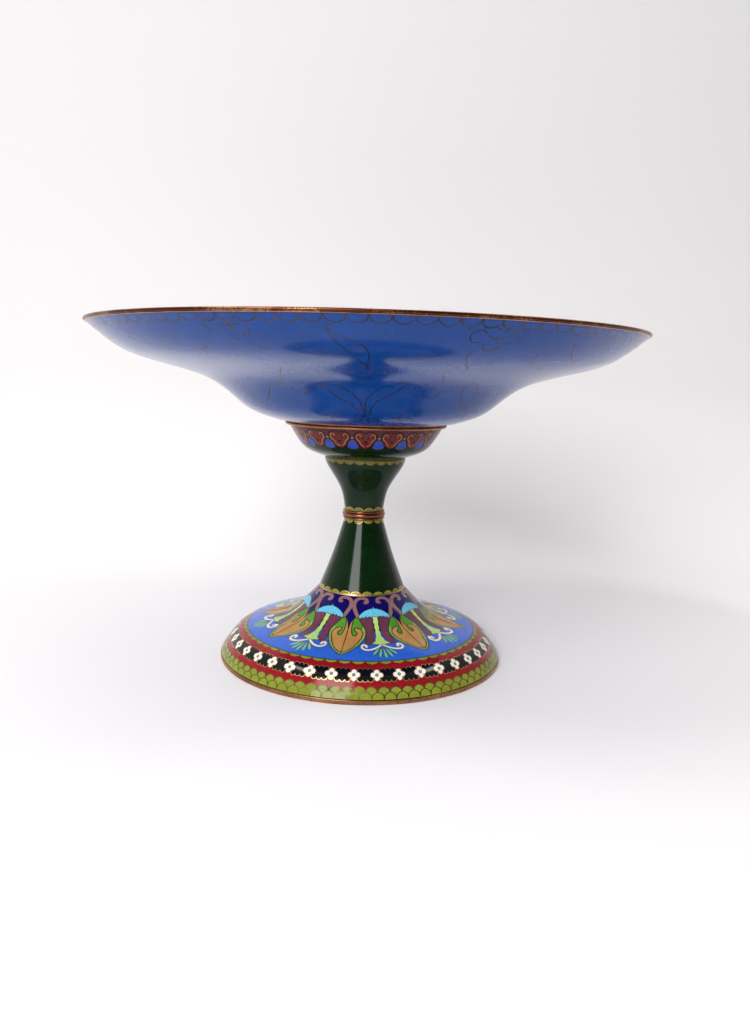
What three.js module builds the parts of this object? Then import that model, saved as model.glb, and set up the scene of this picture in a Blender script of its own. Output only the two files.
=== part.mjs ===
// A footed fruit bowl of enamelled copper: a wide shallow bowl with a turned-up lip, carried by a
// waisted pedestal with a cup-shaped top and a spreading hollow foot. The enamelled parts are thin
// spun shells. Copper rings edge the bowl and the foot, and join the parts between them.
// Millimetres, +Z up, the origin at the centre of the underside.

import * as THREE from 'three';

// Facets round the axis of every turned piece.
const FACETS = 48;

// Wall of the spun copper with its enamel on both faces.
const WALL = 2.4;

// Foot: a copper ring on the table, then a flared skirt that turns into a tall cone.
const FOOT_RIM_HEIGHT = 2.8;
const FOOT_RIM_PROUD = 0.5;
const FOOT_RIM_INSET = 1.2;
const FOOT_RADIUS = 80.8;
const FOOT_EDGE_RISE = 3.9;
const FOOT_EDGE_RUN = 2.2;
const FOOT_SHOULDER_RISE = 9.6;
const FOOT_SHOULDER_RUN = 9.4;
const FOOT_SLOPE_RISE = 8.2;
const FOOT_SLOPE_RUN = 26.7;
const FOOT_FLARE_RISE = 15.7;
const FOOT_FLARE_RUN = 17.7;
const CONE_RISE = 40.4;
const CONE_HOLLOW = 0.7;

// Waist: the copper ring where the foot and the upper stem meet.
const WAIST_RADIUS = 11;
const WAIST_RING_HEIGHT = 5;
const WAIST_RING_PROUD = 1.3;

// Upper stem: a neck that opens upwards into a shallow cup.
const NECK_LOWER_RISE = 12;
const NECK_LOWER_FLARE = 2.6;
const NECK_UPPER_RISE = 18.6;
const NECK_UPPER_FLARE = 9.5;
const NECK_SWELL_DROP = 5;
const NECK_SWELL_INSET = 1.4;
const CUP_LOWER_RISE = 5.2;
const CUP_LOWER_RUN = 11.8;
const CUP_UPPER_RISE = 12.2;
const CUP_UPPER_RUN = 8.6;

// Collar: the copper ring between the cup and the bowl.
const COLLAR_HEIGHT = 2.8;
const COLLAR_PROUD = 2.4;
const COLLAR_INSET = 1.4;
const COLLAR_BULGE = 0.8;

// Bowl: a flat base, the side of the well, a broad shelf and a lip that turns up.
const BASE_RADIUS = 50.5;
const WELL_TURN_RUN = 15.4;
const WELL_TURN_RISE = 5.8;
const WELL_SIDE_RUN = 22.4;
const WELL_SIDE_RISE = 16;
const SHELF_RUN = 40;
const SHELF_RISE = 11.9;
const LIP_RUN = 19.9;
const LIP_RISE = 13.7;
const BOWL_RIM_HEIGHT = 2.5;
const BOWL_RIM_PROUD = 1.8;
const BOWL_RIM_INSET = 0.3;
const BOWL_RIM_BULGE = 0.9;

// How finely the curved outlines are stepped, and the least rise between an inner face's points.
const OUTLINE_STEPS = 10;
const STEM_STEPS = 7;
const RING_STEPS = 4;
const LEAST_STEP = 0.4;

const enamel = (colour) => new THREE.MeshStandardMaterial({ color: colour, roughness: 0.18, metalness: 0 });
const copper = new THREE.MeshStandardMaterial({ color: 0x9c6242, roughness: 0.35, metalness: 1 });
const blueEnamel = enamel(0x2c5aa0);
const greenEnamel = enamel(0x1f4a26);
const footEnamel = enamel(0x3a66c8);

const at = (radius, height) => new THREE.Vector2(radius, height);

// A smooth outline through the given stations.
const smooth = (stations, steps) => new THREE.SplineCurve(stations).getPoints(steps);

// The inner face of a shell, from its bottom point to its top one: between them the outer outline
// is moved inwards by the wall, square to itself, and kept only where it lies between the two.
function innerFace(outline, wall, bottom, top) {
  const moved = outline.map((point, index) => {
    const before = outline[Math.max(index - 1, 0)];
    const after = outline[Math.min(index + 1, outline.length - 1)];
    const along = after.clone().sub(before).normalize();
    return at(point.x - along.y * wall, point.y + along.x * wall);
  });
  const between = moved.filter((point) => point.y > bottom.y + LEAST_STEP && point.y < top.y - LEAST_STEP);
  return [bottom, ...between, top];
}

// Turns a closed section about the vertical axis.
function turned(name, section, material) {
  const geometry = new THREE.LatheGeometry(section, FACETS);
  geometry.rotateX(Math.PI / 2);
  const mesh = new THREE.Mesh(geometry, material);
  mesh.name = name;
  return mesh;
}

// A ring with a flat top and bottom and a rounded outer face that bulges by the given amount.
function ringSection(inner, outer, bottom, height, bulge) {
  const face = [];
  for (let step = 0; step <= RING_STEPS; step += 1) {
    const turn = (Math.PI * step) / RING_STEPS;
    face.push(at(outer - bulge + bulge * Math.sin(turn), bottom + (height * (1 - Math.cos(turn))) / 2));
  }
  return [at(inner, bottom), ...face, at(inner, bottom + height), at(inner, bottom)];
}

// Foot.
const footBottom = FOOT_RIM_HEIGHT;
const footShoulder = at(FOOT_RADIUS - FOOT_EDGE_RUN, footBottom + FOOT_EDGE_RISE);
const footSlope = at(footShoulder.x - FOOT_SHOULDER_RUN, footShoulder.y + FOOT_SHOULDER_RISE);
const footFlare = at(footSlope.x - FOOT_SLOPE_RUN, footSlope.y + FOOT_SLOPE_RISE);
const footNeck = at(footFlare.x - FOOT_FLARE_RUN, footFlare.y + FOOT_FLARE_RISE);
const footTop = at(WAIST_RADIUS, footNeck.y + CONE_RISE);
const coneMiddle = at((footNeck.x + footTop.x) / 2 - CONE_HOLLOW, (footNeck.y + footTop.y) / 2);
const skirt = smooth([at(FOOT_RADIUS, footBottom), footShoulder, footSlope, footFlare, footNeck], OUTLINE_STEPS);
const cone = smooth([footNeck, coneMiddle, footTop], RING_STEPS).slice(1);
const footOuter = [...skirt, ...cone];
const footInner = innerFace(
  footOuter,
  WALL,
  at(FOOT_RADIUS - WALL, footBottom),
  at(WAIST_RADIUS - WALL, footTop.y),
);

// Upper stem.
const neckBottom = footTop.y + WAIST_RING_HEIGHT;
const neckMiddle = at(WAIST_RADIUS + NECK_LOWER_FLARE, neckBottom + NECK_LOWER_RISE);
const neckTop = at(neckMiddle.x + NECK_UPPER_FLARE, neckMiddle.y + NECK_UPPER_RISE);
const cupTurn = at(neckTop.x + CUP_LOWER_RUN, neckTop.y + CUP_LOWER_RISE);
const cupTop = at(cupTurn.x + CUP_UPPER_RUN, cupTurn.y + CUP_UPPER_RISE);
// The neck swells a little under the cup, so one more station lies just below its top.
const neckSwell = at(neckTop.x - NECK_SWELL_INSET, neckTop.y - NECK_SWELL_DROP);
const neck = smooth([at(WAIST_RADIUS, neckBottom), neckMiddle, neckSwell, neckTop], STEM_STEPS);
const cup = smooth([neckTop, cupTurn, cupTop], RING_STEPS).slice(1);
const stemOuter = [...neck, ...cup];
const stemInner = innerFace(
  stemOuter,
  WALL,
  at(WAIST_RADIUS - WALL, neckBottom),
  at(cupTop.x - WALL, cupTop.y),
);

// Bowl.
const bowlBottom = cupTop.y + COLLAR_HEIGHT;
const wellTurn = at(BASE_RADIUS + WELL_TURN_RUN, bowlBottom + WELL_TURN_RISE);
const wellTop = at(wellTurn.x + WELL_SIDE_RUN, wellTurn.y + WELL_SIDE_RISE);
const shelfEnd = at(wellTop.x + SHELF_RUN, wellTop.y + SHELF_RISE);
const lipTop = at(shelfEnd.x + LIP_RUN, shelfEnd.y + LIP_RISE);
const bowlOuter = smooth([at(BASE_RADIUS, bowlBottom), wellTurn, wellTop, shelfEnd, lipTop], OUTLINE_STEPS);
const bowlInner = innerFace(
  bowlOuter,
  WALL,
  at(BASE_RADIUS - WALL / 2, bowlBottom + WALL),
  at(lipTop.x - WALL, lipTop.y),
);

const bowl = turned(
  'bowl',
  [at(0, bowlBottom), ...bowlOuter, ...bowlInner.toReversed(), at(0, bowlBottom + WALL)],
  blueEnamel,
);
const bowlRim = turned(
  'bowl_rim',
  ringSection(
    lipTop.x - WALL - BOWL_RIM_INSET,
    lipTop.x + BOWL_RIM_PROUD,
    lipTop.y,
    BOWL_RIM_HEIGHT,
    BOWL_RIM_BULGE,
  ),
  copper,
);
const collarRing = turned(
  'collar_ring',
  ringSection(
    cupTop.x - WALL - COLLAR_INSET,
    cupTop.x + COLLAR_PROUD,
    cupTop.y,
    COLLAR_HEIGHT,
    COLLAR_BULGE,
  ),
  copper,
);
const stemCup = turned('stem_cup', [...stemOuter, ...stemInner.toReversed(), stemOuter[0].clone()], greenEnamel);
const waistRing = turned(
  'waist_ring',
  ringSection(
    WAIST_RADIUS - WALL,
    WAIST_RADIUS + WAIST_RING_PROUD,
    footTop.y,
    WAIST_RING_HEIGHT,
    WAIST_RING_PROUD,
  ),
  copper,
);
const foot = turned('foot', [...footOuter, ...footInner.toReversed(), footOuter[0].clone()], footEnamel);
const footRim = turned(
  'foot_rim',
  ringSection(
    FOOT_RADIUS - WALL - FOOT_RIM_INSET,
    FOOT_RADIUS + FOOT_RIM_PROUD,
    0,
    FOOT_RIM_HEIGHT,
    FOOT_RIM_PROUD,
  ),
  copper,
);

const fruitBowl = new THREE.Group();
fruitBowl.add(footRim, foot, waistRing, stemCup, collarRing, bowl, bowlRim);

export default fruitBowl;
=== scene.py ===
# A footed fruit bowl of enamelled copper, wide and shallow, on a waisted pedestal. Fine copper wires
# are bent to the pattern and set on edge, the cells between them are filled with glass enamel, and
# the whole is ground flush and polished. Metres, +Z up, the front at -Y.

from math import atan2, cos, degrees, hypot, pi, radians, sin

import bpy
import numpy as np
from mathutils import Matrix, Vector
from mathutils.geometry import delaunay_2d_cdt


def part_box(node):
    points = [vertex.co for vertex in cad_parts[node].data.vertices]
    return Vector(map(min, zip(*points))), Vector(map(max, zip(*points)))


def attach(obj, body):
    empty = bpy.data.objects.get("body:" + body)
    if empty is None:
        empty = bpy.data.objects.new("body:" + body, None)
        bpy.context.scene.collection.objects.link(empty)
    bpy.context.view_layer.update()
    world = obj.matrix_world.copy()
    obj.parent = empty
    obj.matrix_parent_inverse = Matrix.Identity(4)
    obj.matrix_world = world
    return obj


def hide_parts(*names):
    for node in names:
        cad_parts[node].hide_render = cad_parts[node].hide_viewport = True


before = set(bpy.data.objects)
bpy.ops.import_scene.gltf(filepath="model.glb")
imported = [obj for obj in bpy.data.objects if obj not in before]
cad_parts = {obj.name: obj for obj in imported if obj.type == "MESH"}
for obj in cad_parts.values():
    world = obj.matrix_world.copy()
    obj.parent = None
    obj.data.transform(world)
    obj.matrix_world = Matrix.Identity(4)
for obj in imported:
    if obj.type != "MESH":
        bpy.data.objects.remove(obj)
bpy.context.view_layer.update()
MM = 0.001

# Camera. It stands a little below the level of the bowl's lip, close in front, looking slightly
# down, with a small turn and tilt. The picture is 750 by 1022, and the lens is given in its pixels.
PICTURE_HEIGHT = 1022
LENS_PIXELS = 808.8
SENSOR = 36
CAMERA_AWAY = 460.7 * MM
CAMERA_HEIGHT = 161.4 * MM
CAMERA_DOWN = 0.1655
CAMERA_TURN = 0.0140
CAMERA_TILT = 0.0297


def placed(name, data):
    """A new object with that data, at the origin, in the scene."""
    made = bpy.data.objects.new(name, data)
    bpy.context.collection.objects.link(made)
    return made


camera = placed("camera", bpy.data.cameras.new("camera"))
camera.data.sensor_width = SENSOR
camera.data.lens = LENS_PIXELS / PICTURE_HEIGHT * SENSOR
camera.data.clip_start = 0.01
camera.matrix_world = (
    Matrix.Translation((0, -CAMERA_AWAY, CAMERA_HEIGHT))
    @ Matrix.Rotation(-CAMERA_TURN, 4, "Z")
    @ Matrix.Rotation(pi / 2 - CAMERA_DOWN, 4, "X")
    @ Matrix.Rotation(CAMERA_TILT, 4, "Z")
)
bpy.context.scene.camera = camera
bpy.context.scene.view_settings.view_transform = "Standard"

# Floor. A pale sheet under the foot that rises in a soft sweep close behind the bowl. It isn't part
# of the bowl, and only its upper side shows, so that it never hides the bowl from behind or below.
FLOOR_FRONT = -0.62
FLOOR_BACK = 0.2
FLOOR_SWEEP = 0.16
FLOOR_RISE = 1.6
FLOOR_HALF_WIDTH = 0.75
FLOOR_STEPS = 24
FLOOR_COLOUR = (0.86, 0.84, 0.84, 1)


def ladder(name, points):
    """A mesh of four-sided faces between points that come two by two."""
    mesh = bpy.data.meshes.new(name)
    mesh.from_pydata(points, [], [(i, i + 1, i + 3, i + 2) for i in range(0, len(points) - 2, 2)])
    return mesh


def node(tree, kind, inputs=None, **settings):
    """One node with its settings. An input is a socket to link from or a plain value."""
    made = tree.nodes.new(kind)
    for key, value in settings.items():
        setattr(made, key, value)
    for key, value in (inputs or {}).items():
        if isinstance(value, bpy.types.NodeSocket):
            tree.links.new(value, made.inputs[key])
        else:
            made.inputs[key].default_value = value
    return made


def new_material(name, **values):
    """A principled material with plain values on the shader's own sockets."""
    material = bpy.data.materials.new(name)
    material.use_nodes = True
    shader = material.node_tree.nodes["Principled BSDF"]
    for key, value in values.items():
        shader.inputs[key.replace("_", " ").title().replace("Ior", "IOR")].default_value = value
    return material, material.node_tree, shader


sweep = [(FLOOR_FRONT, 0)]
for step in range(FLOOR_STEPS + 1):
    turn = pi / 2 * step / FLOOR_STEPS
    sweep.append((FLOOR_BACK + FLOOR_SWEEP * sin(turn), FLOOR_SWEEP * (1 - cos(turn))))
sweep.append((FLOOR_BACK + FLOOR_SWEEP, FLOOR_RISE))
edges = [(side * FLOOR_HALF_WIDTH, y, z) for y, z in sweep for side in (-1, 1)]
floor = placed("floor", ladder("floor", edges))
floor.data.polygons.foreach_set("use_smooth", [True] * len(floor.data.polygons))
paper, tree, shader = new_material("pale_sheet", base_color=FLOOR_COLOUR, roughness=0.9)
back = node(tree, "ShaderNodeNewGeometry").outputs["Backfacing"]
front = node(tree, "ShaderNodeMath", {0: 1.0, 1: back}, operation="SUBTRACT").outputs[0]
tree.links.new(front, shader.inputs["Alpha"])
floor.data.materials.append(paper)

# Light. Plain soft studio light: a room that is pale overhead and to the left and dim in front, a
# key from the left behind the camera, which throws the bowl's shadow on the sheet behind it to the
# right, and two small panels high at the sides.
ROOM_DIM = 0.05
ROOM_PALE = 0.72
ROOM_SLOPE = (-0.25, 0.9, 0.8)
ROOM_FADE_START = -0.7
ROOM_FADE_END = 0.9
ROOM_COLOUR = (1.0, 0.985, 0.99, 1)
LAMP_AIM = Vector((0, 0, 0.1))
PANELS = (
    ("key_panel", (-0.50, -1.17, 0.84), (0.7, 0.9), 19.0),
    ("left_panel", (-1.12, -0.28, 1.74), (0.75, 0.24), 7.5),
    ("right_panel", (1.27, -0.02, 1.6), (0.55, 0.22), 4.5),
)

world = bpy.data.worlds.new("pale_room")
world.use_nodes = True
tree = world.node_tree
way = node(tree, "ShaderNodeTexCoord").outputs["Generated"]
lie = node(tree, "ShaderNodeVectorMath", {0: way, 1: ROOM_SLOPE}, operation="DOT_PRODUCT").outputs["Value"]
fade = {"From Min": ROOM_FADE_START, "From Max": ROOM_FADE_END, "To Min": ROOM_DIM, "To Max": ROOM_PALE}
pale = node(tree, "ShaderNodeMapRange", {"Value": lie, **fade}, interpolation_type="SMOOTHSTEP")
backdrop = tree.nodes["Background"]
backdrop.inputs["Color"].default_value = ROOM_COLOUR
tree.links.new(pale.outputs[0], backdrop.inputs["Strength"])
bpy.context.scene.world = world
for name, place, size, power in PANELS:
    panel = bpy.data.lights.new(name, "AREA")
    panel.shape = "RECTANGLE"
    panel.size, panel.size_y = size
    panel.energy = power
    lamp = placed(name, panel)
    lamp.location = place
    lamp.rotation_euler = (LAMP_AIM - Vector(place)).to_track_quat("-Z", "Y").to_euler()

# Foot rim. The copper ring that the bowl stands on: a turned band soldered to the foot's edge, with
# a rounded outer face and a fine bead along its top, now browned in patches.
FACETS = 240
FOOT_RIM_PROUD = 0.5 * MM
FOOT_RIM_INSET = 1.2 * MM
WALL = 2.4 * MM
RIM_BEAD = 0.7 * MM
RIM_ROUND = 0.9 * MM
# Half-width of the painted highlight lines along a copper edge.
HIGHLIGHT_LINE_REACH = 0.3 * MM
ARC_STEPS = 8


def arc(centre, radius, start, end, steps=ARC_STEPS):
    """Points on a round stretch of a section, angles in degrees from the outward direction."""
    turns = [radians(start + (end - start) * i / steps) for i in range(steps + 1)]
    return [(centre[0] + radius * cos(t), centre[1] + radius * sin(t)) for t in turns]


def wrapping_tree():
    """Geometry Nodes that set a flat drawing round the axis. The drawing's X is the angle round, and
    its Y is the length along an outline curve. Copies of it fill the circle, one colour of cell is
    kept, and each cell gets its depth below the face."""
    tree = bpy.data.node_groups.new("set_round_the_axis", "GeometryNodeTree")
    tree.is_modifier = True
    taken = {"Geometry": "Geometry", "Outline": "Object", "Copies": "Int", "Turn": "Float", "Colour": "Int",
             "Depth": "Float", "Wander": "Float", "Finish": "Material"}
    for name, kind in taken.items():
        tree.interface.new_socket(name, in_out="INPUT", socket_type="NodeSocket" + kind)
    tree.interface.new_socket("Geometry", in_out="OUTPUT", socket_type="NodeSocketGeometry")
    given = tree.nodes.new("NodeGroupInput").outputs

    def maths(operation, a, b=0.0):
        return node(tree, "ShaderNodeMath", {0: a, 1: b}, operation=operation).outputs[0]

    def times(a, b):
        return maths("MULTIPLY", a, b)

    def joined(x, y, z):
        return node(tree, "ShaderNodeCombineXYZ", {0: x, 1: y, 2: z}).outputs[0]

    def parts(vector):
        return node(tree, "ShaderNodeSeparateXYZ", {0: vector}).outputs

    def named(kind, name):
        return node(tree, "GeometryNodeInputNamedAttribute", {"Name": name}, data_type=kind).outputs[0]

    def stored(geometry, kind, domain, name, value):
        marks = {"Geometry": geometry, "Name": name, "Value": value}
        return node(tree, "GeometryNodeStoreNamedAttribute", marks, data_type=kind, domain=domain).outputs[0]

    # Copies side by side, then only the cells of one colour.
    first = joined(given["Turn"], 0.0, 0.0)
    step = joined(maths("DIVIDE", 2 * pi, given["Copies"]), 0.0, 0.0)
    row = {"Count": given["Copies"], "Start Location": first, "Offset": step}
    line = node(tree, "GeometryNodeMeshLine", row).outputs[0]
    spread = node(tree, "GeometryNodeInstanceOnPoints", {"Points": line, "Instance": given["Geometry"]})
    flat = node(tree, "GeometryNodeRealizeInstances", {0: spread.outputs[0]}).outputs[0]
    pair = {2: named("INT", "colour"), 3: given["Colour"]}
    other = node(tree, "FunctionNodeCompare", pair, data_type="INT", operation="NOT_EQUAL").outputs[0]
    chosen = node(tree, "GeometryNodeDeleteGeometry", {"Geometry": flat, "Selection": other}, domain="FACE")

    # Where each point comes on the turned form, and how far the hand-bent wires wander there.
    outline = node(tree, "GeometryNodeObjectInfo", {"Object": given["Outline"]}).outputs["Geometry"]
    place = parts(node(tree, "GeometryNodeInputPosition").outputs[0])

    def on_form(turned, along):
        measure = {"Curves": outline, "Length": along}
        sample = node(tree, "GeometryNodeSampleCurve", measure, mode="LENGTH", use_all_curves=True)
        point, tangent = parts(sample.outputs["Position"]), parts(sample.outputs["Tangent"])
        side, back = maths("SINE", turned), times(maths("COSINE", turned), -1.0)
        spot = joined(times(point[0], side), times(point[0], back), point[2])
        facing = joined(times(tangent[2], side), times(tangent[2], back), times(tangent[0], -1.0))
        return spot, facing, point[0]

    first_spot, _, radius = on_form(place[0], place[1])
    bends = {"Vector": first_spot, "Scale": 110.0, "Detail": 1.0}
    noise = node(tree, "ShaderNodeTexNoise", bends, noise_dimensions="3D").outputs["Color"]
    middling = {0: noise, 1: (0.5, 0.5, 0.5)}
    shift = parts(node(tree, "ShaderNodeVectorMath", middling, operation="SUBTRACT").outputs[0])
    give = times(named("FLOAT", "give"), given["Wander"])
    turned = maths("ADD", place[0], maths("DIVIDE", times(shift[0], give), radius))
    along = maths("ADD", place[1], times(shift[1], give))
    spot, facing, _ = on_form(turned, along)
    marked = stored(chosen.outputs[0], "FLOAT_VECTOR", "POINT", "facing", facing)
    wrapped = node(tree, "GeometryNodeSetPosition", {"Geometry": marked, "Position": spot}).outputs[0]
    closed = node(tree, "GeometryNodeMergeByDistance", {"Geometry": wrapped, "Distance": 1e-6}).outputs[0]

    # Each cell as deep as the enamel: its face, its floor on the copper and the walls between them.
    top = stored(closed, "BOOLEAN", "FACE", "shown", True)
    inwards = {0: named("FLOAT_VECTOR", "facing"), "Scale": times(given["Depth"], -1.0)}
    down = node(tree, "ShaderNodeVectorMath", inwards, operation="SCALE").outputs[0]
    sunk = node(tree, "GeometryNodeExtrudeMesh", {"Mesh": top, "Offset": down, "Individual": False})
    inside = node(tree, "GeometryNodeFlipFaces", {0: sunk.outputs[0]}).outputs[0]
    hidden = stored(inside, "BOOLEAN", "FACE", "shown", False)
    cell = tree.nodes.new("GeometryNodeJoinGeometry")
    tree.links.new(top, cell.inputs[0])
    tree.links.new(hidden, cell.inputs[0])
    solid = node(tree, "GeometryNodeMergeByDistance", {"Geometry": cell.outputs[0], "Distance": 1e-6})
    deep = node(tree, "FunctionNodeCompare", {0: given["Depth"], 1: 0.0}, operation="GREATER_THAN")
    choice = {"Switch": deep.outputs[0], "False": top, "True": solid.outputs[0]}
    either = node(tree, "GeometryNodeSwitch", choice, input_type="GEOMETRY")
    plain = node(tree, "GeometryNodeRealizeInstances", {0: either.outputs[0]}).outputs[0]
    done = node(tree, "GeometryNodeSetMaterial", {"Geometry": plain, "Material": given["Finish"]})
    output = tree.nodes.new("NodeGroupOutput")
    tree.links.new(done.outputs[0], output.inputs[0])
    return tree


set_round = wrapping_tree()


def outline_curve(name, points):
    """An outline in the XZ plane as a curve that the tree can measure along, hidden in renders."""
    data = bpy.data.curves.new(name, "CURVE")
    data.dimensions = "3D"
    spline = data.splines.new("POLY")
    spline.points.add(len(points) - 1)
    for spot, (radius, height) in zip(spline.points, points):
        spot.co = (radius, 0, height, 1)
    return placed(name, data)


def set_on(name, flat, outline, copies, finish, colour=0, depth=0.0, wander=0.0, turn=0.0, crease=None):
    """Runs the tree on a flat drawing and returns the finished piece. Faces that show take the
    turned form's own normals, or with a crease angle they are smoothed up to that angle."""
    source = placed(name + "_flat", flat)
    modifier = source.modifiers.new("round", "NODES")
    modifier.node_group = set_round
    values = {"Outline": outline, "Copies": copies, "Turn": turn, "Colour": colour, "Depth": depth,
              "Wander": wander, "Finish": finish}
    for item in set_round.interface.items_tree:
        if item.in_out == "INPUT" and item.name in values:
            modifier[item.identifier] = values[item.name]
    bpy.context.view_layer.update()
    ready = source.evaluated_get(bpy.context.evaluated_depsgraph_get())
    mesh = bpy.data.meshes.new_from_object(ready)
    mesh.name = name
    source.modifiers.clear()
    bpy.data.objects.remove(source)
    piece = placed(name, mesh)
    mesh.polygons.foreach_set("use_smooth", [True] * len(mesh.polygons))

    def read(rows, key, kind=float, wide=1):
        values = np.zeros(len(rows) * wide, kind)
        rows.foreach_get(key, values)
        return values.reshape(-1, wide) if wide > 1 else values

    if crease is None:
        facing = read(mesh.attributes["facing"].data, "vector", wide=3)
        shown = read(mesh.attributes["shown"].data, "value", bool)
        count = read(mesh.polygons, "loop_total", int)
        of_face = np.repeat(np.arange(len(mesh.polygons)), count)
        hidden = ~shown[of_face]
        normals = facing[read(mesh.loops, "vertex_index", int)]
        normals[hidden] = read(mesh.polygons, "normal", wide=3)[of_face[hidden]]
        mesh.normals_split_custom_set(normals.tolist())
    else:
        mesh.set_sharp_from_angle(angle=radians(crease))
    for spare in ("facing", "shown", "colour", "give"):
        if spare in mesh.attributes:
            mesh.attributes.remove(mesh.attributes[spare])
    return piece


def turned(name, section, finish, crease=32):
    """A closed section turned about the axis: one flat strip, copied round by the same tree."""
    lengths = [0.0]
    loop = section + section[:1]
    for before, after in zip(loop, loop[1:]):
        lengths.append(lengths[-1] + hypot(after[0] - before[0], after[1] - before[1]))
    strip = ladder(name + "_strip", [(x, y, 0) for y in lengths for x in (0, 2 * pi / FACETS)])
    strip.attributes.new("colour", "INT", "FACE")
    strip.attributes.new("give", "FLOAT", "POINT")
    guide = outline_curve(name + "_guide", loop)
    piece = set_on(name, strip, guide, FACETS, finish, crease=crease)
    bpy.data.objects.remove(guide)
    return piece


def noise(tree, spot, seed, scale, detail, roughness=0.5):
    """Soft noise on the object's own coordinates."""
    given = {"Vector": spot, "W": seed, "Scale": scale, "Detail": detail, "Roughness": roughness}
    return node(tree, "ShaderNodeTexNoise", given, noise_dimensions="4D").outputs[0]


def copper_finish(name, bright, brown, roughness, seed, highlight_heights=()):
    """Turned copper that was once gilt: brown and brighter patches mixed by broad and fine noise, with a fine
    bump. Bright lines can be laid along edges at given heights: these are painted highlights."""
    material, tree, shader = new_material(name, metallic=1.0)
    spot = node(tree, "ShaderNodeTexCoord").outputs["Object"]
    fine = noise(tree, spot, seed, 900.0, 3.0)
    broad = noise(tree, spot, seed, 60.0, 5.0, 0.62)
    mixed = node(tree, "ShaderNodeMix", {0: 0.35, 2: broad, 3: fine}).outputs[0]
    wear_and_highlight = mixed
    rise = node(tree, "ShaderNodeSeparateXYZ", {0: spot}).outputs[2]
    # Painted highlight: each given height gets a bright line added to the tarnish, standing for light caught
    # along an edge.
    for height in highlight_heights:
        away = node(tree, "ShaderNodeMath", {0: rise, 1: height}, operation="SUBTRACT").outputs[0]
        away = node(tree, "ShaderNodeMath", {0: away}, operation="ABSOLUTE").outputs[0]
        given = {"Value": away, "From Max": HIGHLIGHT_LINE_REACH, "To Min": 0.3, "To Max": 0.0}
        near = node(tree, "ShaderNodeMapRange", given).outputs[0]
        wear_and_highlight = node(tree, "ShaderNodeMath", {0: wear_and_highlight, 1: near}, operation="ADD").outputs[0]
    highlight_and_tarnish_ramp = node(tree, "ShaderNodeValToRGB", {"Fac": wear_and_highlight})
    stops = ((0.5, brown), (0.75, bright)) if highlight_heights else ((0.38, brown), (0.6, bright))
    for element, (position, colour) in zip(highlight_and_tarnish_ramp.color_ramp.elements, stops):
        element.position = position
        element.color = (*colour, 1)
    tree.links.new(highlight_and_tarnish_ramp.outputs[0], shader.inputs["Base Color"])
    dull = {"Value": mixed, "From Min": 0.3, "From Max": 0.7, "To Min": roughness + 0.16, "To Max": roughness}
    tree.links.new(node(tree, "ShaderNodeMapRange", dull).outputs[0], shader.inputs["Roughness"])
    bump = node(tree, "ShaderNodeBump", {"Height": fine, "Strength": 0.12, "Distance": 0.0002})
    tree.links.new(bump.outputs[0], shader.inputs["Normal"])
    return material


def finished(piece, slot, *nodes):
    """Every piece rides on the one body and stands for the solids it dresses. The slot is not used."""
    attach(piece, "root")
    if nodes:
        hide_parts(*nodes)


ring_copper = copper_finish("ring_copper", (0.46, 0.22, 0.11), (0.18, 0.07, 0.03), 0.24, 1.0)
low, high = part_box("foot_rim")
outer, inner = high.x, high.x - FOOT_RIM_PROUD - WALL - FOOT_RIM_INSET
section = [(inner, low.z)]
section += arc((outer - RIM_ROUND, low.z + RIM_ROUND), RIM_ROUND, -90, 0)
section += arc((outer - RIM_BEAD / 2, high.z - RIM_BEAD), RIM_BEAD / 2, -60, 90)
section += [(inner, high.z)]
finished(turned("foot_rim_copper", section, ring_copper), "copper", "foot_rim")

# Foot. A spun copper shell: a tall cone that turns at a gilt wire into a spreading skirt. Eight
# heart-shaped leaves and eight hanging blossoms go round the skirt, under them a red band with
# black cartouches and white blossoms, and fish scales at the edge. Inside it has plain enamel.
FOOT_EDGE_RISE = 3.9 * MM
FOOT_EDGE_RUN = 2.2 * MM
FOOT_SHOULDER_RISE = 9.6 * MM
FOOT_SHOULDER_RUN = 9.4 * MM
FOOT_SLOPE_RISE = 8.2 * MM
FOOT_SLOPE_RUN = 26.7 * MM
FOOT_FLARE_RISE = 15.7 * MM
FOOT_FLARE_RUN = 17.7 * MM
CONE_HOLLOW = 0.7 * MM
WAIST_RADIUS = 11 * MM
ENAMEL = 0.7 * MM
WIRE = 0.34 * MM
STATION_STEPS = 20
LINE_STEPS = 4
CORE_EVERY = 5
CUT_MARGIN = 0.2 * MM
HAND_WANDER = 0.55 * MM


def smooth_line(points, steps=LINE_STEPS, closed=False):
    """A smooth line through the given points."""
    count = len(points)
    line = []
    for i in range(count if closed else count - 1):
        if closed:
            near = [points[(i + k) % count] for k in (-1, 0, 1, 2)]
        else:
            near = [points[max(i - 1, 0)], points[i], points[i + 1], points[min(i + 2, count - 1)]]
        for k in range(steps):
            t = k / steps
            weights = (
                -0.5 * t + t * t - 0.5 * t**3,
                1 - 2.5 * t * t + 1.5 * t**3,
                0.5 * t + 2 * t * t - 1.5 * t**3,
                -0.5 * t * t + 0.5 * t**3,
            )
            line.append(tuple(sum(w * p[axis] for w, p in zip(weights, near)) for axis in (0, 1)))
    return line if closed else line + [tuple(points[-1])]


def inset(outline, depth):
    """An outline moved inwards, square to itself."""
    moved = []
    for i, (radius, height) in enumerate(outline):
        before, after = outline[max(i - 1, 0)], outline[min(i + 1, len(outline) - 1)]
        run, rise = after[0] - before[0], after[1] - before[1]
        long = hypot(run, rise)
        moved.append((radius - rise / long * depth, height + run / long * depth))
    return moved


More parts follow.
